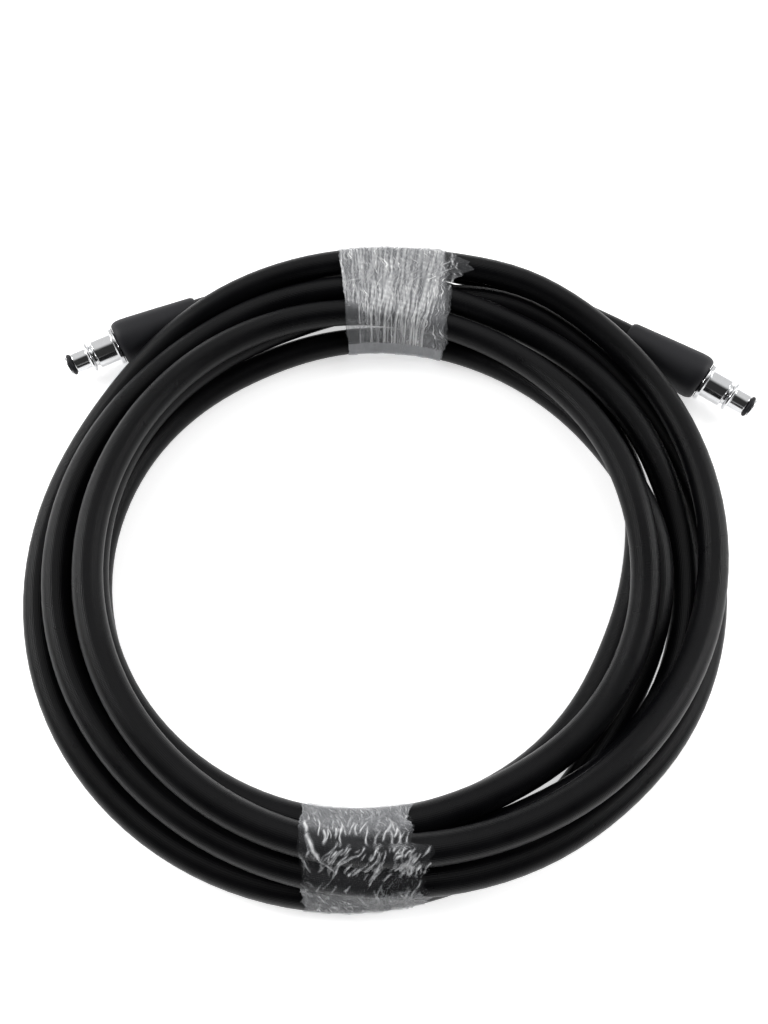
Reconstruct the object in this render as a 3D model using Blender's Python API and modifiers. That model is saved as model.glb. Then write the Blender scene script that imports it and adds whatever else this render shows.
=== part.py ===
"""Pressure washer hose: one rubber hose wound in a loose flat coil of about six
turns, a tapered boot and a plated plug with an O-ring on each end, and two
wraps of clear stretch film round the bundle. Metres, +Z up, lying on z = 0."""
import math

import bmesh
import bpy
import numpy as np
from mathutils import Matrix, Vector

MM = 0.001

# hose
HOSE_R = 6.25            # outside radius
BORE_R = 3.15
WALL = HOSE_R - BORE_R
PITCH = 13.2             # least distance between two hose centre lines
LIE = HOSE_R + 1.1       # centre height of a strand on the floor layer
STEP = 6                 # degrees between two points of the settled lay

# boots: a close bore over the hose, a wide shoulder and a thin tail
BOOT_FIT = 0.35          # gap between hose and boot
BOOT_BORE = HOSE_R + BOOT_FIT
BOOT_LEN = 43.0
SHOULDER_WALL = 4.6
SHOULDER_ROUND = 4.0
TAIL_WALL = 1.3
TAIL_CHAMFER = 1.6

# fittings: centre of the boot's face, direction from the plug's tip inwards
FIT_Z = BOOT_BORE + SHOULDER_WALL + 0.05
LEFT_FACE, LEFT_DIR = (-125.9, 107.1), (0.886, 0.464)
RIGHT_FACE, RIGHT_DIR = (163.4, 86.6), (-0.808, 0.589)
FACE_AT = 26.9           # tip to boot face
HOSE_AT = 31.4           # tip to the hose's cut end

# plugs: a nose with a groove for the O-ring, a collar, a barrel, a flange
# against the boot and a shank inside the hose
PLUG_BORE = 1.7
SHANK_FIT = 0.4          # gap round the shank and round the ferrule
SHANK_R = BORE_R - SHANK_FIT
SHANK_END = 46.5
FERRULE_R = BOOT_BORE - SHANK_FIT
NOSE_R = 5.0
GROOVE_R = 2.95
GROOVE_TO = 3.2
COLLAR_R = 7.4
BARREL_R = 6.95
FLANGE_R = 9.4
RING_R = 1.0             # O-ring's own thickness, halved
RING_FIT = 0.32
RING_MID = GROOVE_R + RING_FIT + RING_R

# film wraps: sections in degrees clockwise from the far side
FILM_FAR = (-7.0, -6.0, -4.0, -2.0, 0.0, 2.0, 4.0, 6.0, 9.0, 12.0, 15.5)
FILM_NEAR = (170.0, 174.0, 180.0, 186.0, 190.0, 194.0)
FILM_T = 0.4
FILM_GAP = 0.95
FILM_DIRS = 24

# the lay, every 30 degrees clockwise from 30 short of the far side:
# (distance from the coil's middle, height of the centre line)
LAY = [
    [(152, 9), (152, 7), (144, 7), (132, 7), (125, 7), (119, 7),
     (117, 7), (122, 7), (127, 7), (131, 7), (133, 7), (120, 7)],
    [(115, 7), (112, 7), (114, 7), (117, 14), (124, 19), (131, 8),
     (136, 10), (139, 12), (143, 7), (148, 7), (146, 7), (137, 7)],
    [(131, 31), (134, 31), (148, 31), (161, 21), (156, 21), (140, 24),
     (131, 31), (126, 32), (123, 32), (121, 31), (119, 31), (117, 30)],
    [(116, 30), (114, 31), (115, 20), (117, 27), (122, 31), (127, 21),
     (119, 20), (119, 20), (122, 19), (124, 19), (121, 19), (119, 19)],
    [(116, 19), (125, 18), (141, 21), (152, 8), (161, 7), (153, 7),
     (134, 20), (133, 22), (134, 20), (137, 20), (139, 20), (136, 20)],
    [(131, 17), (129, 29), (134, 20), (137, 17), (142, 7), (141, 10),
     (128, 18), (131, 7), (134, 7), (138, 7), (136, 7), (127, 7)],
    [(126, 6), (143, 28), (164, 10)],
]


def lay_points():
    """The table run out to one point every STEP degrees, then pushed apart
    until no two strands are nearer than PITCH and none is under the floor."""
    rows = [p for turn in LAY for p in turn]
    # one station more at each end, in line with the boots
    rows = [(168, 12)] + rows + [(176, 11.2)]
    sub = 30 // STEP
    want = []
    for i in range(1, len(rows) - 2):
        a, b, c, d = (np.array(rows[i + k], float) for k in (-1, 0, 1, 2))
        for j in range(sub):
            t = j / sub
            want.append(b + 0.5 * t * (c - a + t * (2 * a - 5 * b + 4 * c - d
                                                    + t * (3 * (b - c) + d - a))))
    want.append(np.array(rows[-2], float))
    want = np.array(want)
    p = want.copy()
    turn = 360 // STEP
    for k in range(600):
        if k < 590:
            hold = 0.04 if k < 400 else 0.008
            p += hold * (want - p)
            p[:, 1] -= 0.02
            p[1:-1] += 0.3 * (0.5 * (p[:-2] + p[2:]) - p[1:-1])
        # strands that cross at a slant are nearer than their section shows
        drift = np.gradient(p, axis=0) / (math.radians(STEP) * p[:, :1])
        for n in (1, 2, 3, 4, 5, 6) * 2:
            if n * turn >= len(p):
                continue
            gap = p[n * turn:] - p[:-n * turn]
            cross = drift[n * turn:] - drift[:-n * turn]
            whole = (gap ** 2).sum(axis=1)
            lost = (gap * cross).sum(axis=1) ** 2 / (1 + (cross ** 2).sum(axis=1))
            least = np.sqrt(np.maximum(whole - lost, 0.01))
            push = (np.maximum(0, PITCH - least) / np.sqrt(whole + 0.01) / 2)[:, None] * gap
            p[:-n * turn] -= push
            p[n * turn:] += push
        p[:, 1] = np.maximum(p[:, 1], LIE)
        p[0], p[-1] = want[0], want[-1]
    return p


def route():
    """Centre line in mm, from the left plug's end to the right plug's."""
    p = lay_points()
    mid = []
    for i in range(0, len(p), 2):
        a = math.radians(-30 + STEP * i)
        mid.append(Vector((p[i][0] * math.sin(a), p[i][0] * math.cos(a), p[i][1])))
    start, end = [], []
    for s in (HOSE_AT - FACE_AT, 20, 33, BOOT_LEN + 2):
        start.append(Vector((LEFT_FACE[0] + s * LEFT_DIR[0],
                             LEFT_FACE[1] + s * LEFT_DIR[1], FIT_Z)))
        end.append(Vector((RIGHT_FACE[0] + s * RIGHT_DIR[0],
                           RIGHT_FACE[1] + s * RIGHT_DIR[1], FIT_Z)))
    pts = start + mid + end[::-1]
    # ease the two joins between coil and boot
    eased = [q.copy() for q in pts]
    for i in (len(start), len(start) + 1, -len(end) - 2, -len(end) - 1):
        eased[i] = 0.5 * pts[i] + 0.25 * (pts[i - 1] + pts[i + 1])
    return eased


def material(name, rgb, rough, metal=0.0, alpha=1.0):
    m = bpy.data.materials.new(name)
    m.use_nodes = True
    b = m.node_tree.nodes["Principled BSDF"]
    b.inputs["Base Color"].default_value = (*rgb, 1)
    b.inputs["Roughness"].default_value = rough
    b.inputs["Metallic"].default_value = metal
    b.inputs["Alpha"].default_value = alpha
    return m


def finish(ob, mat, angle=35):
    ob.data.materials.clear()
    ob.data.materials.append(mat)
    bm = bmesh.new()
    bm.from_mesh(ob.data)
    bmesh.ops.recalc_face_normals(bm, faces=bm.faces)
    bm.to_mesh(ob.data)
    bm.free()
    ob.data.shade_smooth()
    ob.data.set_sharp_from_angle(angle=math.radians(angle))


def applied(ob, name):
    """The object's evaluated mesh as a plain mesh object of that name."""
    bpy.context.view_layer.update()
    deps = bpy.context.evaluated_depsgraph_get()
    me = bpy.data.meshes.new_from_object(ob.evaluated_get(deps))
    me.transform(ob.matrix_world)
    bpy.data.objects.remove(ob)
    new = bpy.data.objects.new(name, me)
    home.objects.link(new)
    return new


def turned(name, profile, face, way, mat, steps=24):
    """A closed profile of (radius, distance from the tip) turned about the
    fitting's axis. The tip lies FACE_AT in front of the boot's face."""
    me = bpy.data.meshes.new(name)
    n = len(profile)
    me.from_pydata([(r * MM, 0, s * MM) for r, s in profile],
                   [(i, (i + 1) % n) for i in range(n)], [])
    ob = bpy.data.objects.new(name, me)
    home.objects.link(ob)
    mod = ob.modifiers.new("turn", "SCREW")
    mod.steps = mod.render_steps = steps
    mod.use_merge_vertices = True
    mod.merge_threshold = 0.00005
    d = Vector((*way, 0)).normalized()
    tip = Vector((*face, FIT_Z)) - d * FACE_AT
    ob.matrix_world = Matrix.Translation(tip * MM) @ d.to_track_quat("Z", "Y").to_matrix().to_4x4()
    ob = applied(ob, name)
    finish(ob, mat)
    return ob


# start from nothing
for ob in list(bpy.data.objects):
    bpy.data.objects.remove(ob)
home = bpy.data.collections.new("pressure_washer_hose")
bpy.context.scene.collection.children.link(home)

rubber = material("hose_rubber", (0.022, 0.022, 0.026), 0.42)
moulded = material("boot_rubber", (0.03, 0.03, 0.034), 0.6)
plated = material("plated_steel", (0.78, 0.78, 0.79), 0.16, metal=1.0)
seal = material("o_ring_rubber", (0.02, 0.02, 0.02), 0.5)
film = material("stretch_film", (0.85, 0.85, 0.88), 0.15, alpha=0.35)

# The hose: an eight-sided tube along the route, hollowed to its bore.
line = route()
cu = bpy.data.curves.new("hose", "CURVE")
cu.dimensions = "3D"
cu.bevel_depth = HOSE_R * MM
cu.bevel_resolution = 2
cu.use_fill_caps = False
sp = cu.splines.new("POLY")
sp.points.add(len(line) - 1)
for q, v in zip(sp.points, line):
    q.co = (*(v * MM), 1)
tube = bpy.data.objects.new("hose", cu)
home.objects.link(tube)
tube = applied(tube, "hose")
wall = tube.modifiers.new("wall", "SOLIDIFY")
wall.thickness = WALL * MM
wall.offset = -1
wall.use_rim = True
hose = applied(tube, "hose")
finish(hose, rubber, 60)

# The two boots, turned.
TAIL = FACE_AT + BOOT_LEN
SHOULDER = BOOT_BORE + SHOULDER_WALL
BOOT = [(BOOT_BORE, FACE_AT), (BOOT_BORE, TAIL), (BOOT_BORE + 0.5, TAIL),
        (BOOT_BORE + TAIL_WALL, TAIL - TAIL_CHAMFER), (BOOT_BORE + 2.1, TAIL - 10),
        (SHOULDER - 0.7, FACE_AT + SHOULDER_ROUND + 11), (SHOULDER, FACE_AT + SHOULDER_ROUND + 2),
        (SHOULDER, FACE_AT + SHOULDER_ROUND), (SHOULDER - 0.4, FACE_AT + SHOULDER_ROUND / 2),
        (SHOULDER - 1.0, FACE_AT + SHOULDER_ROUND / 6), (SHOULDER - 1.7, FACE_AT)]
turned("boot_left", BOOT, LEFT_FACE, LEFT_DIR, moulded)
turned("boot_right", BOOT, RIGHT_FACE, RIGHT_DIR, moulded)

# The two plugs, turned with their through bores.
FLANGE_AT = FACE_AT - 2.3
PLUG = [(PLUG_BORE, 0), (NOSE_R - 0.8, 0), (NOSE_R - 0.5, 0.3), (NOSE_R - 0.5, 0.6),
        (GROOVE_R, 0.6), (GROOVE_R, GROOVE_TO), (NOSE_R, GROOVE_TO), (NOSE_R, 10.6),
        (COLLAR_R - 0.5, 10.8), (COLLAR_R, 11.3), (COLLAR_R, 12.1), (COLLAR_R - 0.5, 12.6),
        (NOSE_R + 0.4, 12.8), (NOSE_R + 0.4, 14.2), (BARREL_R - 0.35, 14.2), (BARREL_R, 14.6),
        (BARREL_R, FLANGE_AT), (FLANGE_R - 0.3, FLANGE_AT), (FLANGE_R, FLANGE_AT + 0.3),
        (FLANGE_R, FACE_AT - 0.6), (FLANGE_R - 0.3, FACE_AT - 0.3), (FERRULE_R, FACE_AT - 0.3),
        (FERRULE_R, HOSE_AT - 0.4), (SHANK_R, HOSE_AT - 0.4), (SHANK_R, SHANK_END - 0.5),
        (SHANK_R - 0.35, SHANK_END), (PLUG_BORE, SHANK_END)]
turned("plug_left", PLUG, LEFT_FACE, LEFT_DIR, plated)
turned("plug_right", PLUG, RIGHT_FACE, RIGHT_DIR, plated)

# The two O-rings in the grooves of the noses.
RING = [(RING_MID + RING_R * math.cos(a), (0.6 + GROOVE_TO) / 2 + RING_R * math.sin(a))
        for a in (-2 * math.pi * k / 10 for k in range(10))]
turned("o_ring_left", RING, LEFT_FACE, LEFT_DIR, seal)
turned("o_ring_right", RING, RIGHT_FACE, RIGHT_DIR, seal)


# The two film wraps.
def strands_at(at):
    """Where the hose crosses the upright half plane at that clock angle:
    (distance from the coil's middle, height) of every crossing."""
    a = math.radians(at)
    side, out = Vector((math.cos(a), -math.sin(a), 0)), Vector((math.sin(a), math.cos(a), 0))
    found = []
    for p, q in zip(line, line[1:]):
        u, v = p.dot(side), q.dot(side)
        if u < 0 <= v and p.dot(out) > 0:
            x = p + (q - p) * (u / (u - v))
            found.append((x.dot(out), x.z))
    return np.array(found)


def sleeve(name, stations):
    """Film drawn tight round the bundle: at each section the outline is the
    furthest strand in every direction, and the sections are bridged."""
    sections = len(stations)
    rings = []
    for at in stations:
        held = strands_at(at)
        a = math.radians(at)
        pair = []
        for off in (HOSE_R + FILM_GAP, HOSE_R + FILM_GAP + FILM_T):
            loop = []
            for j in range(FILM_DIRS):
                u = np.array([math.cos(2 * math.pi * (j + 0.5) / FILM_DIRS),
                              math.sin(2 * math.pi * (j + 0.5) / FILM_DIRS)])
                r, z = held[np.argmax(held @ u)] + off * u
                z = max(z, 0.0 if off > HOSE_R + FILM_GAP else FILM_T)
                loop.append((r * math.sin(a) * MM, r * math.cos(a) * MM, z * MM))
            pair.append(loop)
        rings.append(pair)
    bm = bmesh.new()
    vs = [[[bm.verts.new(c) for c in loop] for loop in pair] for pair in rings]
    n = FILM_DIRS
    for s in range(sections - 1):
        for side in (0, 1):
            for j in range(n):
                k = (j + 1) % n
                bm.faces.new((vs[s][side][j], vs[s][side][k],
                              vs[s + 1][side][k], vs[s + 1][side][j]))
    for s in (0, sections - 1):
        for j in range(n):
            k = (j + 1) % n
            bm.faces.new((vs[s][0][j], vs[s][0][k], vs[s][1][k], vs[s][1][j]))
    me = bpy.data.meshes.new(name)
    bm.to_mesh(me)
    bm.free()
    ob = bpy.data.objects.new(name, me)
    home.objects.link(ob)
    finish(ob, film, 50)
    return ob


sleeve("film_wrap_top", FILM_FAR)
sleeve("film_wrap_bottom", FILM_NEAR)

# stand the whole part on z = 0 with its box centred on the origin
bpy.context.view_layer.update()
cs = [v.co for ob in home.objects for v in ob.data.vertices]
lo = [min(c[i] for c in cs) for i in range(3)]
hi = [max(c[i] for c in cs) for i in range(3)]
shift = Vector((-(lo[0] + hi[0]) / 2, -(lo[1] + hi[1]) / 2, -lo[2]))
for ob in home.objects:
    ob.data.transform(Matrix.Translation(shift))
    ob.data.update()
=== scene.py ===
"""Looks of a coiled pressure washer hose: one black hose in six loose turns, a
boot, a plated plug and an O-ring on each end, and two wraps of stretch film.
Metres, +Z up, the coil lying on a pale floor. Lengths that end up in a mesh are
given in millimetres from the coil's middle and scaled by MM."""
import math

import bpy
import numpy as np
from mathutils import Matrix, Vector


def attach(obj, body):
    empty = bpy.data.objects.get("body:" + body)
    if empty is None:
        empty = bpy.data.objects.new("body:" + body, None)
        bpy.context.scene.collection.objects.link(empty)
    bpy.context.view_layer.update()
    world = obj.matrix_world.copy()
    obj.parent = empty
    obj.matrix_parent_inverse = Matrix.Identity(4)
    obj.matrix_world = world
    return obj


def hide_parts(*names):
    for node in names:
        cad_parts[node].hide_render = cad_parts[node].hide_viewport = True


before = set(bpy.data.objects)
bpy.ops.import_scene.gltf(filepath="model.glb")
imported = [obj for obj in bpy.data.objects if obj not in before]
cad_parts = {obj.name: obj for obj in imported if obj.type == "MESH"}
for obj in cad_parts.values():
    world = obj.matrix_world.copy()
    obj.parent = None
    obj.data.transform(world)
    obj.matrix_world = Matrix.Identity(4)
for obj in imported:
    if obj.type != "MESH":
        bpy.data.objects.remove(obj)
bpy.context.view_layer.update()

# The camera looks down on the coil from its near side, 22 degrees off straight
# down, and from so close that the near turns look larger than the far ones.
bpy.ops.object.camera_add(location=(-0.0096, -0.12897, 0.36422),
                          rotation=(math.radians(22), 0, 0))
camera = bpy.context.object
camera.name = "camera"
camera.data.lens = 29.07
bpy.context.scene.camera = camera

# The hose: black rubber with a braid in its wall, 12.5 mm across, bored 6.3 mm.
# It was cured in a cloth wrap, which left rows of fine beads along it, and it
# lies in six loose turns that ride over each other where they cross.
MM = 0.001
COIL_MIDDLE = Vector((-16.288, -3.005, 0.0))
HOSE_R, BORE_R = 6.25, 3.15
PITCH = 13.2                 # least distance between two centre lines
LIE = 7.35                   # centre height of a strand on the floor
STEP = 6                     # degrees between two points of the settled lay
TABLE_STEP = 30              # degrees between two entries of the table below
ROUNDS = 600                 # of settling: held to the table firmly at first,
FIRM_ROUNDS = 400            # then loosely,
LAST_ROUNDS = 10             # and not at all
# each fitting: where its boot's face stands, the way from there into the boot,
# and their height
LEFT_FACE, LEFT_DIR = (-125.9, 107.1), (0.886, 0.464)
RIGHT_FACE, RIGHT_DIR = (163.4, 86.6), (-0.808, 0.589)
FIT_Z = 11.25
# from the plug's tip to the boot's face and to the hose's end, and the boot's length
FACE_AT, HOSE_AT, BOOT_LEN = 26.9, 31.4, 43.0

# (distance from the coil's middle, height) every TABLE_STEP degrees clockwise,
# from 30 degrees short of the far side, one list a turn
LAY = [
    [(152, 9), (152, 7), (144, 7), (132, 7), (125, 7), (119, 7),
     (117, 7), (122, 7), (127, 7), (131, 7), (133, 7), (120, 7)],
    [(115, 7), (112, 7), (114, 7), (117, 14), (124, 19), (131, 8),
     (136, 10), (139, 12), (143, 7), (148, 7), (146, 7), (137, 7)],
    [(131, 31), (134, 31), (148, 31), (161, 21), (156, 21), (140, 24),
     (131, 31), (126, 32), (123, 32), (121, 31), (119, 31), (117, 30)],
    [(116, 30), (114, 31), (115, 20), (117, 27), (122, 31), (127, 21),
     (119, 20), (119, 20), (122, 19), (124, 19), (121, 19), (119, 19)],
    [(116, 19), (125, 18), (141, 21), (152, 8), (161, 7), (153, 7),
     (134, 20), (133, 22), (134, 20), (137, 20), (139, 20), (136, 20)],
    [(131, 17), (129, 29), (134, 20), (137, 17), (142, 7), (141, 10),
     (128, 18), (131, 7), (134, 7), (138, 7), (136, 7), (127, 7)],
    [(126, 6), (143, 28), (164, 10)],
]


def lay_points():
    """The table run out to one point every STEP degrees, then pushed apart
    until no two strands are nearer than PITCH and none is under the floor. The
    last rounds only push."""
    before, after = (168, 12), (176, 11.2)
    rows = [before] + [p for turn in LAY for p in turn] + [after]
    sub = TABLE_STEP // STEP
    want = []
    for i in range(1, len(rows) - 2):
        a, b, c, d = (np.array(rows[i + k], float) for k in (-1, 0, 1, 2))
        for j in range(sub):
            t = j / sub
            want.append(b + 0.5 * t * (c - a + t * (2 * a - 5 * b + 4 * c - d
                                                    + t * (3 * (b - c) + d - a))))
    want.append(np.array(rows[-2], float))
    want = np.array(want)
    p = want.copy()
    turn = 360 // STEP
    for k in range(ROUNDS):
        if k < ROUNDS - LAST_ROUNDS:
            hold = 0.04 if k < FIRM_ROUNDS else 0.008
            p += hold * (want - p)
            p[:, 1] -= 0.02
            p[1:-1] += 0.3 * (0.5 * (p[:-2] + p[2:]) - p[1:-1])
        # strands that cross at a slant are nearer than their section shows
        drift = np.gradient(p, axis=0) / (math.radians(STEP) * p[:, :1])
        for n in (1, 2, 3, 4, 5, 6) * 2:
            gap = p[n * turn:] - p[:-n * turn]
            cross = drift[n * turn:] - drift[:-n * turn]
            whole = (gap ** 2).sum(axis=1)
            lost = (gap * cross).sum(axis=1) ** 2 / (1 + (cross ** 2).sum(axis=1))
            least = np.sqrt(np.maximum(whole - lost, 0.01))
            push = (np.maximum(0, PITCH - least) / np.sqrt(whole + 0.01) / 2)[:, None] * gap
            p[:-n * turn] -= push
            p[n * turn:] += push
        p[:, 1] = np.maximum(p[:, 1], LIE)
        p[0], p[-1] = want[0], want[-1]
    return p


def route():
    """The centre line in mm, from the left plug's end to the right plug's."""
    p = lay_points()[::2]
    clock = np.radians(-TABLE_STEP + 2 * STEP * np.arange(len(p)))
    mid = np.column_stack((p[:, 0] * np.sin(clock), p[:, 0] * np.cos(clock), p[:, 1]))
    into = np.array((HOSE_AT - FACE_AT, 20, 33, BOOT_LEN + 2))[:, None]
    start = np.array((*LEFT_FACE, FIT_Z)) + into * np.array((*LEFT_DIR, 0))
    end = np.array((*RIGHT_FACE, FIT_Z)) + into * np.array((*RIGHT_DIR, 0))
    pts = np.vstack((start, mid, end[::-1]))
    eased = pts.copy()
    for i in (4, 5, -6, -5):
        eased[i] = 0.5 * pts[i] + 0.25 * (pts[i - 1] + pts[i + 1])
    return eased


def smooth(points, parts):
    """A B-spline through the points' own bends, with so many parts a span."""
    p = np.vstack((2 * points[0] - points[1], points, 2 * points[-1] - points[-2]))
    q = p.copy()
    q[1:-1] += (2 * p[1:-1] - p[:-2] - p[2:]) / 6
    t = (np.arange(parts) / parts)[None, :, None]
    a, b, c, d = (q[k:len(q) - 3 + k, None] for k in range(4))
    fine = ((1 - t) ** 3 * a + (3 * t ** 3 - 6 * t ** 2 + 4) * b
            + (3 * (t + t ** 2 - t ** 3) + 1) * c + t ** 3 * d) / 6
    return np.vstack((fine.reshape(-1, 3), points[-1:]))


line = smooth(route(), 4)
placed = [(Vector(p) + COIL_MIDDLE) * MM for p in line]

curve = bpy.data.curves.new("hose_skin", "CURVE")
curve.dimensions = "3D"
curve.twist_mode = "Z_UP"
curve.bevel_depth = HOSE_R * MM
curve.bevel_resolution = 10
spline = curve.splines.new("POLY")
spline.points.add(len(placed) - 1)
for point, at in zip(spline.points, placed):
    point.co = (*at, 1)
hose = bpy.data.objects.new("hose_skin", curve)
bpy.context.collection.objects.link(hose)
bpy.ops.object.select_all(action="DESELECT")
hose.select_set(True)
bpy.context.view_layer.objects.active = hose
bpy.ops.object.convert(target="MESH")
hose = bpy.context.object

# the bead pattern's map in mm: along the hose, and round it, with the last side
# of each ring closed at the full way round
sides = len(hose.data.vertices) // len(line)
along = np.concatenate(([0], np.cumsum(np.linalg.norm(np.diff(line, axis=0), axis=1))))
corner = np.empty(len(hose.data.loops), int)
hose.data.loops.foreach_get("vertex_index", corner)
ring, side = corner.reshape(-1, 4) // sides, corner.reshape(-1, 4) % sides
side = np.where((side == 0) & (side.max(axis=1, keepdims=True) == sides - 1), sides, side)
skin_map = hose.data.uv_layers.new(name="skin_map")
skin_map.data.foreach_set("uv", np.stack((along[ring], side * 2 * math.pi * HOSE_R / sides),
                                         axis=-1).ravel())
wall = hose.modifiers.new("wall", "SOLIDIFY")
wall.thickness = (HOSE_R - BORE_R) * MM
wall.offset = -1
bpy.ops.object.modifier_apply(modifier="wall")
bpy.ops.object.shade_smooth_by_angle(angle=math.radians(50))


def node(tree, kind, inputs=None, **settings):
    """A new node with these settings and values on its plain sockets."""
    new = tree.nodes.new(kind)
    for key, value in settings.items():
        setattr(new, key, value)
    for key, value in (inputs or {}).items():
        new.inputs[key].default_value = value
    return new


def finish_of(name, **sockets):
    """A new material, with its node tree, its shader and the constants set."""
    made = bpy.data.materials.new(name)
    made.use_nodes = True
    shader = made.node_tree.nodes["Principled BSDF"]
    for key, value in sockets.items():
        shader.inputs[key.replace("_", " ")].default_value = value
    return made, made.node_tree, shader


def new_group(name, takes, gives):
    """A node group with float and colour sockets: (name, kind, value)."""
    group = bpy.data.node_groups.new(name, "ShaderNodeTree")
    for way, sockets in (("INPUT", takes), ("OUTPUT", gives)):
        for label, kind, value in sockets:
            socket = group.interface.new_socket(label, in_out=way, socket_type=kind)
            if value is not None:
                socket.default_value = value
    return group, node(group, "NodeGroupInput"), node(group, "NodeGroupOutput")


# rubber grain: fine pits, and broad patches a little paler and duller, where
# the rubber has been handled
rubber_grain, given, out = new_group(
    "rubber_grain",
    [("Rubber", "NodeSocketColor", (0.01, 0.01, 0.012, 1)),
     ("Handled", "NodeSocketColor", (0.02, 0.02, 0.023, 1)),
     ("Gloss", "NodeSocketFloat", 0.4), ("Dull", "NodeSocketFloat", 0.55)],
    [("Colour", "NodeSocketColor", None), ("Roughness", "NodeSocketFloat", None),
     ("Height", "NodeSocketFloat", None)])
place = node(rubber_grain, "ShaderNodeTexCoord")
patches = node(rubber_grain, "ShaderNodeTexNoise",
               {"Scale": 38.0, "Detail": 4.0, "Roughness": 0.6})
pits = node(rubber_grain, "ShaderNodeTexNoise", {"Scale": 1600.0, "Detail": 2.0})
patch = node(rubber_grain, "ShaderNodeMapRange", {"From Min": 0.38, "From Max": 0.72})
tone = node(rubber_grain, "ShaderNodeMix", data_type="RGBA")
gloss = node(rubber_grain, "ShaderNodeMix")
join = rubber_grain.links.new
join(place.outputs["Object"], patches.inputs["Vector"])
join(place.outputs["Object"], pits.inputs["Vector"])
join(patches.outputs["Fac"], patch.inputs["Value"])
join(patch.outputs["Result"], tone.inputs[0])
join(given.outputs["Rubber"], tone.inputs[6])
join(given.outputs["Handled"], tone.inputs[7])
join(patch.outputs["Result"], gloss.inputs[0])
join(given.outputs["Gloss"], gloss.inputs[2])
join(given.outputs["Dull"], gloss.inputs[3])
join(tone.outputs[2], out.inputs["Colour"])
join(gloss.outputs[0], out.inputs["Roughness"])
join(pits.outputs["Fac"], out.inputs["Height"])


def rubber_finish(name, specular, rubber, handled, gloss, dull, strength, depth):
    """A rubber that shines that much, with the grain in two tones, two
    roughnesses and one relief."""
    made, tree, shader = finish_of(name, Specular_IOR_Level=specular)
    grain = node(tree, "ShaderNodeGroup", node_tree=rubber_grain)
    for label, value in (("Rubber", (*rubber, 1)), ("Handled", (*handled, 1)),
                         ("Gloss", gloss), ("Dull", dull)):
        grain.inputs[label].default_value = value
    bump = node(tree, "ShaderNodeBump", {"Strength": strength, "Distance": depth})
    tree.links.new(grain.outputs["Height"], bump.inputs["Height"])
    tree.links.new(grain.outputs["Colour"], shader.inputs["Base Color"])
    tree.links.new(grain.outputs["Roughness"], shader.inputs["Roughness"])
    tree.links.new(bump.outputs["Normal"], shader.inputs["Normal"])
    return made, tree, grain, bump


# cloth-cured rubber: two crossing rows of ridges round the hose make beads
BEAD = 1.3                   # mm between two beads along the hose
BEADS_ROUND = 28
hose_rubber, tree, grain, bump = rubber_finish("hose_rubber", 0.12, (0.002, 0.002, 0.0025),
                                               (0.0036, 0.0036, 0.0042), 0.27, 0.35, 0.35, 0.00012)
join = tree.links.new
at = node(tree, "ShaderNodeUVMap", uv_map="skin_map")
split = node(tree, "ShaderNodeSeparateXYZ")
join(at.outputs["UV"], split.inputs[0])
lengthways = node(tree, "ShaderNodeMath", {1: 2 * math.pi / BEAD}, operation="MULTIPLY")
roundways = node(tree, "ShaderNodeMath", {1: BEADS_ROUND / HOSE_R}, operation="MULTIPLY")
join(split.outputs["X"], lengthways.inputs[0])
join(split.outputs["Y"], roundways.inputs[0])
ridges = []
for sign in ("ADD", "SUBTRACT"):
    lean = node(tree, "ShaderNodeMath", operation=sign)
    wave = node(tree, "ShaderNodeMath", operation="SINE")
    join(lengthways.outputs[0], lean.inputs[0])
    join(roundways.outputs[0], lean.inputs[1])
    join(lean.outputs[0], wave.inputs[0])
    ridges.append(wave)
beads = node(tree, "ShaderNodeMath", operation="MULTIPLY")
join(ridges[0].outputs[0], beads.inputs[0])
join(ridges[1].outputs[0], beads.inputs[1])
relief = node(tree, "ShaderNodeMath", {1: 0.35}, operation="MULTIPLY_ADD")
join(grain.outputs["Height"], relief.inputs[0])
join(beads.outputs[0], relief.inputs[2])
join(relief.outputs[0], bump.inputs["Height"])
hose.data.materials.append(hose_rubber)
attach(hose, "root")
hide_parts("hose")

# The boots: smooth moulded rubber sleeves pushed over the crimped end of the
# hose. Each is widest just behind its rounded shoulder and tapers to a thin
# chamfered tail.
BOOT_BORE, SHOULDER, TAIL = 6.6, 11.2, FACE_AT + BOOT_LEN


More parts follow.
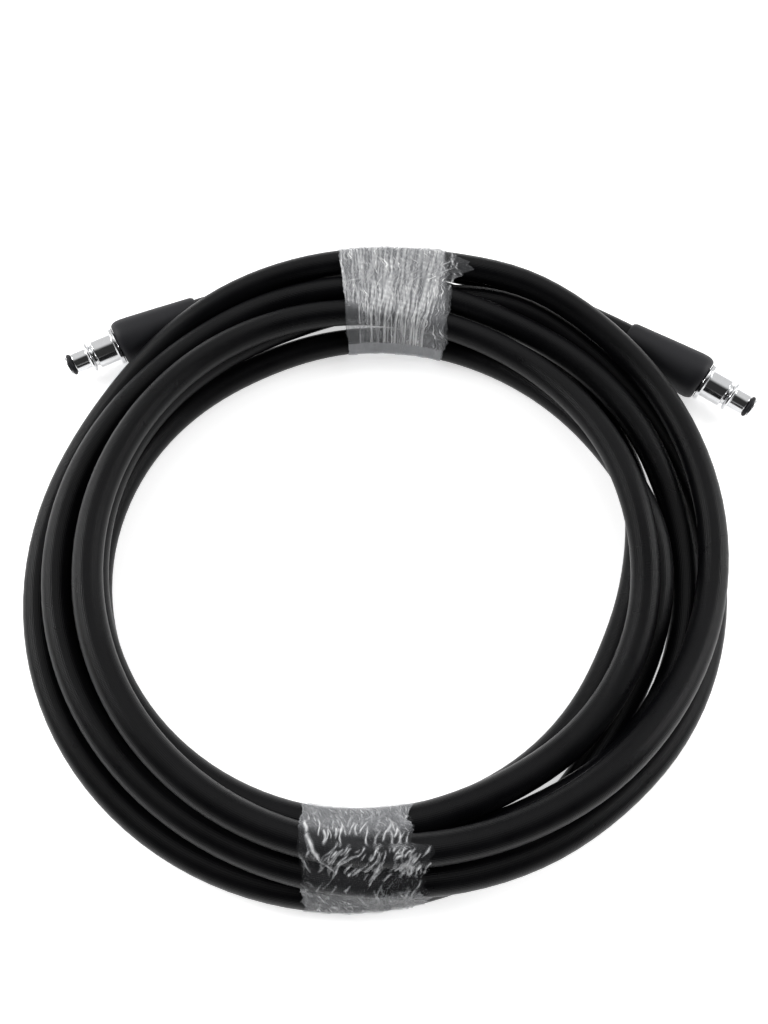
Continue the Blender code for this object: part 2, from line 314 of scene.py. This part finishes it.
def turned(name, profile, face, way, edge):
    """A piece turned about the fitting's axis: a ring is pulled along through
    every (radius, distance from the tip) and bridged back to its start, and
    its sharp edges get a small bevel."""
    bpy.ops.object.select_all(action="DESELECT")
    bpy.ops.mesh.primitive_circle_add(vertices=64, radius=profile[0][0] * MM,
                                      location=(0, 0, profile[0][1] * MM), enter_editmode=True)
    bpy.ops.mesh.select_all(action="SELECT")
    for (r0, s0), (r1, s1) in zip(profile, profile[1:]):
        bpy.ops.mesh.extrude_edges_move(TRANSFORM_OT_translate={"value": (0, 0, (s1 - s0) * MM)})
        bpy.ops.transform.resize(value=(r1 / r0, r1 / r0, 1), center_override=(0, 0, s1 * MM))
    bpy.ops.mesh.select_all(action="DESELECT")
    bpy.ops.mesh.select_non_manifold()
    bpy.ops.mesh.bridge_edge_loops()
    bpy.ops.mesh.select_all(action="SELECT")
    bpy.ops.mesh.normals_make_consistent(inside=False)
    bpy.ops.object.mode_set(mode="OBJECT")
    piece = bpy.context.object
    piece.name = name
    bevel = piece.modifiers.new("edges", "BEVEL")
    bevel.width = edge * MM
    bevel.segments = 2
    bevel.limit_method = "ANGLE"
    bevel.angle_limit = math.radians(28)
    bpy.ops.object.modifier_apply(modifier="edges")
    inwards = Vector((*way, 0)).normalized()
    tip = (Vector((*face, FIT_Z)) - inwards * FACE_AT + COIL_MIDDLE) * MM
    aim = inwards.to_track_quat("Z", "Y").to_matrix().to_4x4()
    piece.matrix_world = Matrix.Translation(tip) @ aim @ piece.matrix_world
    bpy.ops.object.transform_apply()
    bpy.ops.object.shade_smooth_by_angle(angle=math.radians(40))
    return piece


boot_profile = [(BOOT_BORE, FACE_AT), (BOOT_BORE, TAIL), (7.1, TAIL), (7.9, TAIL - 1.6),
                (8.25, TAIL - 5), (8.7, TAIL - 10), (9.7, TAIL - 20), (10.5, FACE_AT + 14),
                (10.95, FACE_AT + 9), (SHOULDER, FACE_AT + 5.5)]
ROUND_IN, ROUND_DOWN, ROUND_PARTS = 2.2, 4.4, 6
boot_profile += [(SHOULDER - ROUND_IN * (1 - math.cos(a)),
                  FACE_AT + ROUND_DOWN * (1 - math.sin(a)))
                 for a in (math.pi / 2 * k / ROUND_PARTS for k in range(1, ROUND_PARTS + 1))]
boot_rubber = rubber_finish("boot_rubber", 0.25, (0.009, 0.009, 0.011), (0.014, 0.014, 0.017),
                            0.5, 0.62, 0.25, 0.00008)[0]
for name, face, way in (("boot_left", LEFT_FACE, LEFT_DIR), ("boot_right", RIGHT_FACE, RIGHT_DIR)):
    boot = turned(name + "_skin", boot_profile, face, way, 0.3)
    boot.data.materials.append(boot_rubber)
    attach(boot, "root")
    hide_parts(name)

# The plugs: steel turned from bar and brightly plated. From the tip: a nose
# with a groove, a collar, a neck, a long barrel and a flange against the boot,
# with a crimped ferrule and a shank inside the boot.
PLUG_BORE, NOSE_R, GROOVE_R = 1.7, 5.0, 2.95
COLLAR_R, BARREL_R, FLANGE_R = 7.4, 6.95, 9.4
FERRULE_R, SHANK_R = 6.2, 2.75
FLANGE_AT = FACE_AT - 2.3
plug_profile = [(PLUG_BORE, 0), (4.2, 0), (4.5, 0.3), (4.5, 0.6), (GROOVE_R, 0.6),
                (GROOVE_R, 3.2), (NOSE_R - 0.3, 3.2), (NOSE_R, 3.6), (NOSE_R, 10.4), (5.3, 10.6),
                (COLLAR_R - 0.6, 10.8), (COLLAR_R, 11.4), (COLLAR_R, 12.0), (COLLAR_R - 0.6, 12.6),
                (5.4, 12.9), (5.4, 14.2), (BARREL_R - 0.45, 14.2), (BARREL_R, 14.7),
                (BARREL_R, FLANGE_AT - 0.3), (BARREL_R + 0.3, FLANGE_AT),
                (FLANGE_R - 0.35, FLANGE_AT), (FLANGE_R, FLANGE_AT + 0.35),
                (FLANGE_R, FACE_AT - 0.65), (FLANGE_R - 0.35, FACE_AT - 0.3),
                (FERRULE_R, FACE_AT - 0.3), (FERRULE_R, HOSE_AT - 0.4), (SHANK_R, HOSE_AT - 0.4),
                (SHANK_R, 46.0), (2.4, 46.5), (PLUG_BORE, 46.5)]
for name, face, way in (("plug_left", LEFT_FACE, LEFT_DIR), ("plug_right", RIGHT_FACE, RIGHT_DIR)):
    plug = turned(name + "_metal", plug_profile, face, way, 0.12)
    # plating with faint turning lines, which run across the plug's own axis
    plating, tree, shader = finish_of("plated_steel_" + name[5:], Metallic=1.0)
    join = tree.links.new
    place = node(tree, "ShaderNodeTexCoord")
    down = node(tree, "ShaderNodeVectorMath", {1: (*Vector((*way, 0)).normalized(),)},
                operation="DOT_PRODUCT")
    lines = node(tree, "ShaderNodeTexNoise", {"Scale": 5200.0, "Detail": 2.0},
                 noise_dimensions="1D")
    smear = node(tree, "ShaderNodeTexNoise", {"Scale": 260.0, "Detail": 3.0})
    rough = node(tree, "ShaderNodeMapRange", {"From Min": 0.3, "From Max": 0.75, "To Min": 0.07,
                                              "To Max": 0.2})
    shade = node(tree, "ShaderNodeMix", data_type="RGBA")
    shade.inputs[6].default_value = (0.72, 0.73, 0.74, 1)
    shade.inputs[7].default_value = (0.60, 0.60, 0.61, 1)
    bump = node(tree, "ShaderNodeBump", {"Strength": 0.12, "Distance": 0.00003})
    join(place.outputs["Object"], down.inputs[0])
    join(place.outputs["Object"], smear.inputs["Vector"])
    join(down.outputs["Value"], lines.inputs["W"])
    join(smear.outputs["Fac"], rough.inputs["Value"])
    join(smear.outputs["Fac"], shade.inputs[0])
    join(lines.outputs["Fac"], bump.inputs["Height"])
    join(shade.outputs[2], shader.inputs["Base Color"])
    join(rough.outputs["Result"], shader.inputs["Roughness"])
    join(bump.outputs["Normal"], shader.inputs["Normal"])
    plug.data.materials.append(plating)
    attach(plug, "root")
    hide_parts(name)

# The O-rings: black rubber rings, 2 mm thick, sprung into the noses' grooves.
RING_MID, RING_AT, RING_R = 4.27, 1.9, 1.0
ring_rubber = rubber_finish("o_ring_rubber", 0.2, (0.01, 0.01, 0.012), (0.02, 0.02, 0.023),
                            0.45, 0.6, 0.2, 0.00004)[0]
for name, face, way in (("o_ring_left", LEFT_FACE, LEFT_DIR),
                        ("o_ring_right", RIGHT_FACE, RIGHT_DIR)):
    inwards = Vector((*way, 0)).normalized()
    at = (Vector((*face, FIT_Z)) - inwards * (FACE_AT - RING_AT) + COIL_MIDDLE) * MM
    bpy.ops.object.select_all(action="DESELECT")
    bpy.ops.mesh.primitive_torus_add(major_radius=RING_MID * MM, minor_radius=RING_R * MM,
                                     major_segments=64, minor_segments=20, location=at,
                                     rotation=inwards.to_track_quat("Z", "Y").to_euler())
    bpy.ops.object.transform_apply()
    bpy.ops.object.shade_smooth()
    ring = bpy.context.object
    ring.name = name + "_rubber"
    ring.data.materials.append(ring_rubber)
    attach(ring, "root")
    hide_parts(name)

# The film wraps: clear stretch film wound tight round the whole bundle, twice
# over. It bridges from strand to strand and gathers in fine folds that run round
# the bundle; the white along the folds, thickest where they crowd, is painted highlight, their
# glint.
ALONG, ROUND = 120, 280      # steps of the sheet along the bundle and once round it
SLICE = 0.5                  # degrees between two outlines of the bundle
WAYS = 721                   # directions tried for each outline


def outline(clock):
    """The bundle's outline in the upright plane at that clock angle, from
    underneath by the outer side, the top and the inner side back to the start:
    rows of distance from the middle, height, and the way straight out."""
    a = math.radians(clock)
    ahead = line @ np.array((math.sin(a), math.cos(a), 0))
    across = line @ np.array((math.cos(a), -math.sin(a), 0))
    k = np.flatnonzero((across[:-1] < 0) & (across[1:] >= 0) & (ahead[:-1] > 0))
    t = across[k] / (across[k] - across[k + 1])
    held = np.column_stack((ahead[k] + t * (ahead[k + 1] - ahead[k]),
                            line[k, 2] + t * (line[k + 1, 2] - line[k, 2])))
    # just off straight down, where two strands on the floor are equally low
    start = 0.05 - math.pi / 2
    turn = np.linspace(start, start + 2 * math.pi, WAYS)
    ways = np.column_stack((np.cos(turn), np.sin(turn)))
    edge = held[np.argmax(held @ ways.T, axis=0)] + HOSE_R * ways
    run = np.concatenate(([0], np.cumsum(np.linalg.norm(np.diff(edge, axis=0), axis=1))))
    even = np.linspace(0, run[-1], ROUND + 1)
    return np.column_stack([np.interp(even, run, column)
                            for column in (edge[:, 0], edge[:, 1], ways[:, 0], ways[:, 1])])


def wind_film(name, first, last, ends, cover, folds, bend, seed):
    """A flat grid wound twice round the bundle between two clock angles. ends
    gives each row's own two ends, cover how white, busy and creased a place is, folds
    lists creases as (clock, radius, clock, radius, width, height), and bend says
    how far these stray from straight, in mm."""
    clocks = np.arange(first - 2, last + 2.01, SLICE)
    table = np.array([outline(c) for c in clocks])
    row = np.arange(2 * ROUND + 1)
    outer = row >= ROUND
    middle = table[len(table) // 2][row % ROUND]
    reach = (middle[:, 0] - middle[:, 0].min()) / np.ptp(middle[:, 0])
    top = middle[:, 3]
    begin, end = ends(reach, top, outer, row)
    clock = begin + (end - begin) * np.linspace(1, 0, ALONG + 1)[:, None]
    at = (clock - clocks[0]) / SLICE
    k = at.astype(int)
    t = (at - k)[..., None]
    spot = table[k, row % ROUND] * (1 - t) + table[k + 1, row % ROUND] * t
    a = np.radians(clock)
    x, y = spot[..., 0] * np.sin(a), spot[..., 0] * np.cos(a)
    crease_and_glint = np.zeros(x.shape)
    bent_x = x + bend * (np.sin(0.45 * y + 0.2 * x) + 0.35 * np.sin(1.3 * y - 0.5 * x))
    bent_y = y + bend * (np.sin(0.4 * x + 1) + 0.35 * np.sin(1.2 * x + 0.6 * y))
    # painted highlight: the creases' glint swells and fades along them; it sets how white they are
    # painted and also how far they stand off the strands
    glint = 0.75 + 0.25 * np.sin(1.9 * x + 0.8 * y) * np.sin(1.5 * y - 1.1 * x)
    for c0, r0, c1, r1, width, height in folds:
        p = np.array((r0 * math.sin(math.radians(c0)), r0 * math.cos(math.radians(c0))))
        q = np.array((r1 * math.sin(math.radians(c1)), r1 * math.cos(math.radians(c1))))
        d = q - p
        s = np.clip(((bent_x - p[0]) * d[0] + (bent_y - p[1]) * d[1]) / (d @ d), 0, 1)
        off = np.hypot(bent_x - p[0] - s * d[0], bent_y - p[1] - s * d[1]) / width
        crease_and_glint = np.maximum(crease_and_glint, height * np.exp(-off * off) * (1 - (2 * s - 1) ** 2) ** 0.5)
    white, busy, creased = cover((spot[..., 0] - table[..., 0].min()) / np.ptp(middle[:, 0]),
                                 spot[..., 1], clock, np.broadcast_to(outer, x.shape))
    crease_and_glint *= glint * creased * np.clip(spot[..., 3] * 1.5 + 0.9, 0, 1)
    chance = np.random.default_rng(seed)
    sway = np.zeros(x.shape)
    for _ in range(14):
        f, g, h = chance.uniform(0.2, 1.1), chance.uniform(-0.25, 0.25), chance.uniform(0, 6.3)
        sway += np.sin(f * (x * math.cos(a.mean()) - y * math.sin(a.mean())) + g * row * 1.4 + h)
    # mm off the strands: the inner turn, then the outer one, its waves and creases
    lift = 0.3 + 0.35 * row / (2 * ROUND) + 0.035 * sway + 0.45 * crease_and_glint
    radius = spot[..., 0] + lift * spot[..., 2]
    height = np.maximum(spot[..., 1] + lift * spot[..., 3], 0.15)
    bpy.ops.object.select_all(action="DESELECT")
    bpy.ops.mesh.primitive_grid_add(x_subdivisions=ALONG, y_subdivisions=2 * ROUND, size=1)
    film = bpy.context.object
    film.name = name
    wound = np.stack((radius * np.sin(a), radius * np.cos(a), height), axis=-1)
    wound += np.array(COIL_MIDDLE)
    film.data.vertices.foreach_set("co", (wound.transpose(1, 0, 2) * MM).ravel())
    # the crease attribute carries the creases and their painted glint into the film's colour
    for label, values in (("white", white), ("busy", busy), ("crease_and_glint", crease_and_glint)):
        film.data.attributes.new(label, "FLOAT", "POINT").data.foreach_set(
            "value", np.ascontiguousarray(values.T).ravel())
    film.data.update()
    bpy.ops.object.shade_smooth()
    return film


def step(value, low, high):
    """0 below low, 1 above high, and a smooth rise between."""
    t = np.clip((value - low) / (high - low), 0, 1)
    return t * t * (3 - 2 * t)


def ragged(row, seed):
    """An uneven edge, about 1 mm in and out, without a steady beat."""
    rough = np.random.default_rng(seed).normal(size=len(row))
    return sum(np.convolve(rough, np.hanning(width) * 0.9 / width ** 0.5, "same")
               for width in (7, 21, 55))


# film folds: streaks that run round the bundle, from a noise stretched that
# way, laid over the creases that the sheet itself has. They give the relief, and
# the white painted along them is painted highlight, their glint.
film_folds, given, out = new_group(
    "film_folds",
    [("White", "NodeSocketFloat", 0.5), ("Busy", "NodeSocketFloat", 0.5),
     ("Crease", "NodeSocketFloat", 0.0), ("Lean", "NodeSocketFloat", 0.0),
     ("Long", "NodeSocketFloat", 0.08)],
    [("Colour", "NodeSocketColor", None), ("Alpha", "NodeSocketFloat", None),
     ("Roughness", "NodeSocketFloat", None), ("Height", "NodeSocketFloat", None)])
join = film_folds.links.new
at = node(film_folds, "ShaderNodeUVMap", uv_map="UVMap")
flat = node(film_folds, "ShaderNodeVectorMath", {1: (52.0, 330.0, 1.0)}, operation="MULTIPLY")
join(at.outputs["UV"], flat.inputs[0])
warp = node(film_folds, "ShaderNodeTexNoise", {"Scale": 0.16, "Detail": 3.0})
join(flat.outputs[0], warp.inputs["Vector"])
split = node(film_folds, "ShaderNodeSeparateXYZ")
join(flat.outputs[0], split.inputs[0])
lean = node(film_folds, "ShaderNodeMath", operation="MULTIPLY_ADD")
join(split.outputs["Y"], lean.inputs[0])
join(given.outputs["Lean"], lean.inputs[1])
join(split.outputs["X"], lean.inputs[2])
swing = node(film_folds, "ShaderNodeMath", {1: 4.0}, operation="MULTIPLY_ADD")
join(warp.outputs["Fac"], swing.inputs[0])
join(lean.outputs[0], swing.inputs[2])
stretch = node(film_folds, "ShaderNodeMath", operation="MULTIPLY")
join(split.outputs["Y"], stretch.inputs[0])
join(given.outputs["Long"], stretch.inputs[1])
drawn = node(film_folds, "ShaderNodeCombineXYZ")
join(swing.outputs[0], drawn.inputs["X"])
join(stretch.outputs[0], drawn.inputs["Y"])
streaks = []
for scale, low, high in ((0.75, 0.5, 0.62), (1.7, 0.5, 0.66)):
    noise = node(film_folds, "ShaderNodeTexNoise",
                 {"Scale": scale, "Detail": 3.0, "Roughness": 0.6})
    sharp = node(film_folds, "ShaderNodeMapRange", {"From Min": low, "From Max": high})
    join(drawn.outputs[0], noise.inputs["Vector"])
    join(noise.outputs["Fac"], sharp.inputs["Value"])
    streaks.append(sharp)
both = node(film_folds, "ShaderNodeMath", operation="MULTIPLY")
join(streaks[0].outputs[0], both.inputs[0])
join(streaks[1].outputs[0], both.inputs[1])
either = node(film_folds, "ShaderNodeMath", {1: 0.45}, operation="MULTIPLY_ADD")
join(streaks[1].outputs[0], either.inputs[0])
join(both.outputs[0], either.inputs[2])
lively = node(film_folds, "ShaderNodeMath", operation="MULTIPLY")
join(either.outputs[0], lively.inputs[0])
join(given.outputs["Busy"], lively.inputs[1])
folds_and_glint = node(film_folds, "ShaderNodeMath", operation="MAXIMUM", use_clamp=True)
join(lively.outputs[0], folds_and_glint.inputs[0])
join(given.outputs["Crease"], folds_and_glint.inputs[1])
alpha = node(film_folds, "ShaderNodeMapRange", {"To Max": 0.97})
join(folds_and_glint.outputs[0], alpha.inputs["Value"])
join(given.outputs["White"], alpha.inputs["To Min"])
# painted highlight: the film's grey turns white along the folds and streaks, for their glint
tone = node(film_folds, "ShaderNodeMix", data_type="RGBA")
tone.inputs[6].default_value = (0.42, 0.43, 0.45, 1)
tone.inputs[7].default_value = (0.97, 0.97, 0.97, 1)
join(folds_and_glint.outputs[0], tone.inputs[0])
dull = node(film_folds, "ShaderNodeMapRange", {"To Min": 0.16, "To Max": 0.34})
join(folds_and_glint.outputs[0], dull.inputs["Value"])
join(tone.outputs[2], out.inputs["Colour"])
join(alpha.outputs[0], out.inputs["Alpha"])
join(dull.outputs[0], out.inputs["Roughness"])
join(folds_and_glint.outputs[0], out.inputs["Height"])


def film_finish(name, lean, long):
    """Stretch film with its folds leaning that much off straight round."""
    made, tree, shader = finish_of(name)
    join = tree.links.new
    folds = node(tree, "ShaderNodeGroup", node_tree=film_folds)
    folds.inputs["Lean"].default_value = lean
    folds.inputs["Long"].default_value = long
    for label, socket in (("white", "White"), ("busy", "Busy"), ("crease_and_glint", "Crease")):
        value = node(tree, "ShaderNodeAttribute", attribute_name=label)
        join(value.outputs["Fac"], folds.inputs[socket])
    bump = node(tree, "ShaderNodeBump", {"Strength": 0.5, "Distance": 0.0006})
    join(folds.outputs["Height"], bump.inputs["Height"])
    join(folds.outputs["Colour"], shader.inputs["Base Color"])
    join(folds.outputs["Alpha"], shader.inputs["Alpha"])
    join(folds.outputs["Roughness"], shader.inputs["Roughness"])
    join(bump.outputs["Normal"], shader.inputs["Normal"])
    return made


FAR_INNER, FAR_WIDE = 106, 50       # the bundle's inner side there, and its width
FAR_CUT = 35.6                      # the right end's distance from the far middle


def far_ends(reach, top, outer, row):
    """The far wrap's two ends: straight out on the left, and on the right a
    straight cut across with a loose ragged flap over the outer strands."""
    rag = ragged(row, 3) * (top > 0)
    flap = 7.5 * step(reach, 0.36, 0.56) * (1 - 0.3 * step(reach, 0.6, 0.66)) * (top > 0) * outer
    cut = FAR_CUT + flap + rag * (0.5 + 1.6 * outer * step(reach, 0.3, 0.5))
    return -6.1 + 0.1 * rag, np.degrees(np.arcsin(cut / (FAR_INNER + FAR_WIDE * reach)))


def far_cover(reach, tall, clock, outer):
    """White and crowded with folds, but for a smooth strip along each side, a
    clearer stretch over the inner strands, a clear patch on the left and the
    clear flap."""
    inside = (1 - step(reach, 0.2, 0.3)) * (1 - step(tall, 13.5, 15))
    outside = step(reach, 0.88, 0.93)
    thin = (1 - step(reach, 0.16, 0.34)) * (1 - inside) * (1 - 0.4 * step(clock, 6, 11))
    white = 0.34 - 0.22 * thin + 0.2 * inside + 0.1 * outside
    busy = 1.0 - 0.45 * thin - 0.9 * inside - 0.6 * outside
    patch = (1 - step(clock, -3.2, -2.4)) * (1 - step(reach, 0.14, 0.22)) * (1 - inside)
    flap = step(clock - np.degrees(FAR_CUT / (FAR_INNER + FAR_WIDE * reach)), 0.0, 0.8)
    clear = np.maximum(patch, flap)
    white, busy = white * (1 - clear) + 0.08 * clear, busy * (1 - clear) + 0.1 * clear
    creased = (1 - 0.95 * inside) * (1 - 0.6 * outside) * (1 - patch)
    return np.where(outer, white, 0.12), np.where(outer, busy, 0.2), creased


def folds_between(seed, count, clock, radius, length, lean, height):
    """So many random creases of that reach, each near straight out."""
    chance = np.random.default_rng(seed)
    made = []
    for _ in range(count):
        c, r = chance.uniform(*clock), chance.uniform(*radius)
        half, tilt = chance.uniform(*length) / 2, math.radians(chance.uniform(*lean))
        across = math.degrees(half * math.sin(tilt) / r)
        made.append((c - across, r - half * math.cos(tilt), c + across, r + half * math.cos(tilt),
                     chance.uniform(0.18, 0.36), chance.uniform(*height)))
    return made


FAR_FOLDS = folds_between(3, 250, (-5.6, 15), (112, 150), (6, 24), (-5, 5), (0.4, 1.0))
FAR_FOLDS += folds_between(5, 60, (-4, 14.5), (108, 122), (6, 16), (-16, 12), (0.6, 1.0))
FAR_FOLDS += [(-5.7, 150, -5.9, 124, 0.3, 1.0), (-5.9, 127, -2.4, 128, 0.3, 0.8)]
FAR_FOLDS += folds_between(4, 16, (14.5, 18), (128, 150), (3, 8), (-60, 60), (0.6, 1.0))
film_far = wind_film("film_far", -7, 22, far_ends, far_cover, FAR_FOLDS, 0.15, 1)
film_far.data.materials.append(film_finish("stretch_film_far", 0.0, 0.07))


NEAR_INNER, NEAR_WIDE = 111.5, 39   # the bundle's inner side there, and its width


def near_ends(reach, top, outer, row):
    """The near wrap's two ends, both cut straight across; on the right it
    reaches further from the third strand outwards, with a ragged edge."""
    rag = ragged(row, 5) * (top > 0)
    right = 15.6 + 7.4 * step(reach, 0.34, 0.4) + rag
    left = 24.5 + 0.4 * rag
    radius = NEAR_INNER + NEAR_WIDE * reach
    return 180 - np.degrees(np.arcsin(right / radius)), 180 + np.degrees(np.arcsin(left / radius))


def near_cover(reach, tall, clock, outer):
    """Whitish along the inner and the outer strands, and clear between them
    but for the creases."""
    inner = 1 - step(reach, 0.2, 0.34)
    rim = step(reach, 0.8, 0.86)
    white = 0.02 + 0.3 * inner + 0.26 * rim
    busy = 0.03 + 0.5 * inner + 0.6 * rim
    return np.where(outer, white, 0.02), np.where(outer, busy, 0.03), np.ones(reach.shape)


NEAR_FOLDS = folds_between(7, 26, (173, 192), (112, 119), (3, 8), (-60, 60), (0.1, 0.35))
NEAR_FOLDS += folds_between(6, 22, (173, 189), (119, 125), (3, 7), (-25, 25), (0.5, 1.0))
NEAR_FOLDS += folds_between(8, 60, (172, 186), (127, 137), (2, 7), (25, 60), (0.3, 0.9))
NEAR_FOLDS += folds_between(9, 26, (170, 175), (128, 136), (2, 6), (10, 75), (0.5, 1.0))
NEAR_FOLDS += folds_between(10, 50, (171, 190), (140, 150), (2, 6), (-80, 80), (0.2, 0.6))
NEAR_FOLDS += folds_between(11, 10, (185, 191), (127, 139), (3, 8), (-60, 60), (0.3, 0.8))
NEAR_FOLDS += [(191.4, 120, 190.4, 124, 0.5, 1.0), (190.4, 124, 187.4, 131, 0.6, 1.0),
               (189.4, 126, 186.8, 132, 0.5, 0.9), (187.6, 121, 187.0, 126, 0.4, 0.9)]
film_near = wind_film("film_near", 168, 195, near_ends, near_cover, NEAR_FOLDS, 0.6, 2)
film_near.data.materials.append(film_finish("stretch_film_near", 0.5, 0.12))

for film, stands_for, flat in ((film_far, "film_wrap_top", (0.05, 0.33)),
                               (film_near, "film_wrap_bottom", (0.045, 0.27))):
    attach(film, "root")
    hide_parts(stands_for)

# The room: a matt white light table, bright enough that little shadow shows,
# and three soft boxes, low on the left and right and high behind the coil. The
# coil is seen against the table, and the plugs mirror the sky round it.
bpy.ops.object.select_all(action="DESELECT")
bpy.ops.mesh.primitive_plane_add(size=40, location=(0, 0, 0))
floor = bpy.context.object
floor.name = "floor"
floor_paint, tree, shader = finish_of("floor_paint", Roughness=0.75, Specular_IOR_Level=0.2,
                                      Emission_Color=(1, 1, 1, 1), Emission_Strength=0.6)
join = tree.links.new
place = node(tree, "ShaderNodeTexCoord")
mottle = node(tree, "ShaderNodeTexNoise", {"Scale": 3.0, "Detail": 2.0})
tone = node(tree, "ShaderNodeMix", data_type="RGBA")
tone.inputs[6].default_value = (0.93, 0.93, 0.93, 1)
tone.inputs[7].default_value = (0.96, 0.96, 0.96, 1)
join(place.outputs["Object"], mottle.inputs["Vector"])
join(mottle.outputs["Fac"], tone.inputs[0])
join(tone.outputs[2], shader.inputs["Base Color"])
floor.data.materials.append(floor_paint)
for name, at, size, power in (("box_left", (-0.9, 0.25, 0.62), 0.42, 7.0),
                              ("box_right", (0.95, 0.15, 0.55), 0.38, 5.5),
                              ("box_high", (0.1, 0.7, 1.3), 0.9, 2.5)):
    aim = (Vector((0, 0, 0)) - Vector(at)).to_track_quat("-Z", "Y").to_euler()
    bpy.ops.object.light_add(type="AREA", location=at, rotation=aim)
    box = bpy.context.object
    box.name = name
    box.data.size = size
    box.data.energy = power
sky = bpy.data.worlds.new("sky")
sky.use_nodes = True
# bright behind the coil and all round near the floor, and dark above its near side
place = node(sky.node_tree, "ShaderNodeTexCoord")
behind = node(sky.node_tree, "ShaderNodeVectorMath", {1: (0, 0.9, 0.43)}, operation="DOT_PRODUCT")
height = node(sky.node_tree, "ShaderNodeSeparateXYZ")
fade = node(sky.node_tree, "ShaderNodeMapRange",
            {"From Min": 0.15, "From Max": 0.5, "To Min": 0.04, "To Max": 0.9},
            interpolation_type="SMOOTHSTEP")
haze = node(sky.node_tree, "ShaderNodeMapRange",
            {"From Min": 0.12, "From Max": 0.42, "To Min": 0.8, "To Max": 0.04},
            interpolation_type="SMOOTHSTEP")
light = node(sky.node_tree, "ShaderNodeMath", operation="MAXIMUM")
join = sky.node_tree.links.new
join(place.outputs["Generated"], behind.inputs[0])
join(place.outputs["Generated"], height.inputs[0])
join(behind.outputs["Value"], fade.inputs["Value"])
join(height.outputs["Z"], haze.inputs["Value"])
join(fade.outputs[0], light.inputs[0])
join(haze.outputs[0], light.inputs[1])
join(light.outputs[0], sky.node_tree.nodes["Background"].inputs["Strength"])
sky.node_tree.nodes["Background"].inputs["Color"].default_value = (1, 1, 1, 1)
bpy.context.scene.world = sky
bpy.context.scene.view_settings.view_transform = "Standard"
